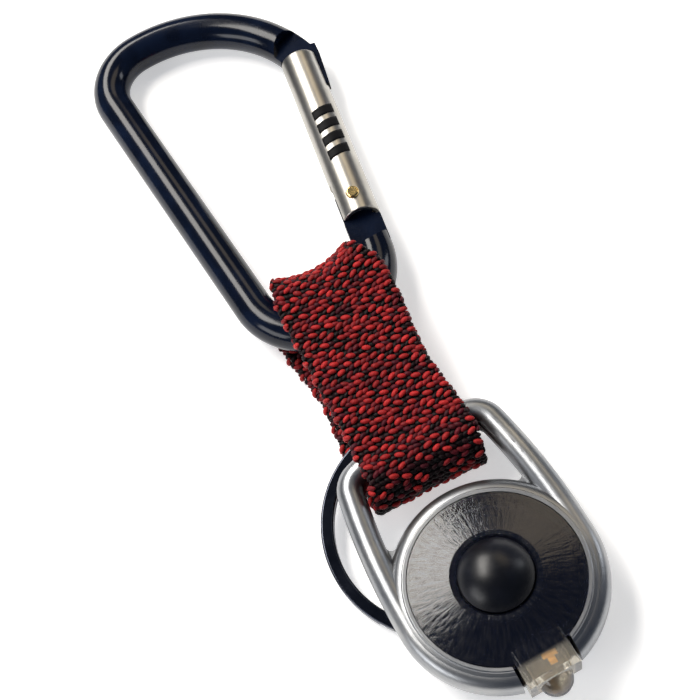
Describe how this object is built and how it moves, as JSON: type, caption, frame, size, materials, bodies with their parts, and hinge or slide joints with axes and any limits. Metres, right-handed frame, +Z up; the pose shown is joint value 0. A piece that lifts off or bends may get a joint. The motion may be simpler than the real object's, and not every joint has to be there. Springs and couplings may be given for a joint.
{
  "type": "carabiner key light",
  "caption": "Spring-gate carabiner with a webbing loop that carries a split key ring and a round push-button LED light in a metal frame.",
  "frame": {"origin": "on the table under the middle of the whole object as it lies flat", "axes": "+Y from the light towards the carabiner, +X to the gate side, +Z up from the table towards the button side"},
  "size_m": [0.0396, 0.132, 0.0131],
  "materials": {
    "dark_anodised": "glossy near-black navy anodising",
    "satin_silver": "satin",
    "brass": "polished",
    "webbing": "coarse braid, black with red flecks",
    "thread": "black polyester thread",
    "black_nickel": "polished black nickel",
    "satin_nickel": "pearl satin nickel plating",
    "smoke_plastic": "glossy smoked translucent plastic",
    "black_plastic": "semi-gloss",
    "clear_epoxy": "clear polished epoxy",
    "lead_metal": "plated lead frame",
    "cell_steel": "brushed nickel-plated steel",
    "spring_steel": "bright wire",
    "tray_plastic": "matte",
    "film": "matte",
    "seal_rubber": "matte"
  },
  "bodies": {
    "carabiner": {"carabiner_body": "dark_anodised", "gate_rivet": "brass"},
    "gate": {"gate_tube": "satin_silver", "gate_spring": "spring_steel"},
    "plunger": {"gate_plunger": "tray_plastic"},
    "strap": {"strap_webbing": "webbing", "strap_stitching": "thread"},
    "ring": {"key_ring": "black_nickel"},
    "light": {"light_frame": "satin_nickel", "lens_cover": "smoke_plastic", "back_shell": "black_plastic", "shell_screws": "spring_steel", "seal_ring": "seal_rubber", "battery_holder": "tray_plastic", "coin_cell_lower": "cell_steel", "coin_cell_upper": "cell_steel", "negative_contact": "lead_metal", "insulator_disc": "film", "led_bulb": "clear_epoxy", "led_anode_lead": "lead_metal", "led_cathode_lead": "lead_metal", "button_spring": "spring_steel"},
    "button": {"button_cap": "black_plastic"}
  },
  "joints": [
    {"name": "gate_hinge", "type": "hinge", "parent": "carabiner", "child": "gate", "pos_m": [0.0113, 0.01636, 0.0047], "axis": [-0.0024, 0.0356, 0.9994], "range_deg": [0, 27], "stiffness_Nm_per_rad": 0.08, "springref_deg": -17.19},
    {"name": "plunger_slide", "type": "slide", "parent": "gate", "child": "plunger", "axis": [0.1616, 0.9862, -0.0348], "range_m": [0, 0.0008], "stiffness_N_per_m": 300, "springref_m": -0.0005, "deforming": ["gate_spring"]},
    {"name": "strap_swing", "type": "hinge", "parent": "carabiner", "child": "strap", "pos_m": [0.00036, -0.00113, 0.0053], "axis": [1, 0, 0], "range_deg": [-75, 75], "deforming": ["strap_webbing"]},
    {"name": "light_swing", "type": "hinge", "parent": "strap", "child": "light", "pos_m": [-0.00067, -0.02301, 0.0066], "axis": [-1, 0, 0], "range_deg": [0, 110]},
    {"name": "ring_swing", "type": "hinge", "parent": "strap", "child": "ring", "pos_m": [-0.00011, -0.0208, 0.00372], "axis": [0.9802, -0.198, 0], "range_deg": [0, 75], "deforming": ["strap_webbing"]},
    {"name": "button_press", "type": "slide", "parent": "light", "child": "button", "axis": [0, 0, -1], "range_m": [0, 0.0008], "stiffness_N_per_m": 800, "springref_m": -0.0004, "deforming": ["button_spring", "led_anode_lead"]}
  ]
}
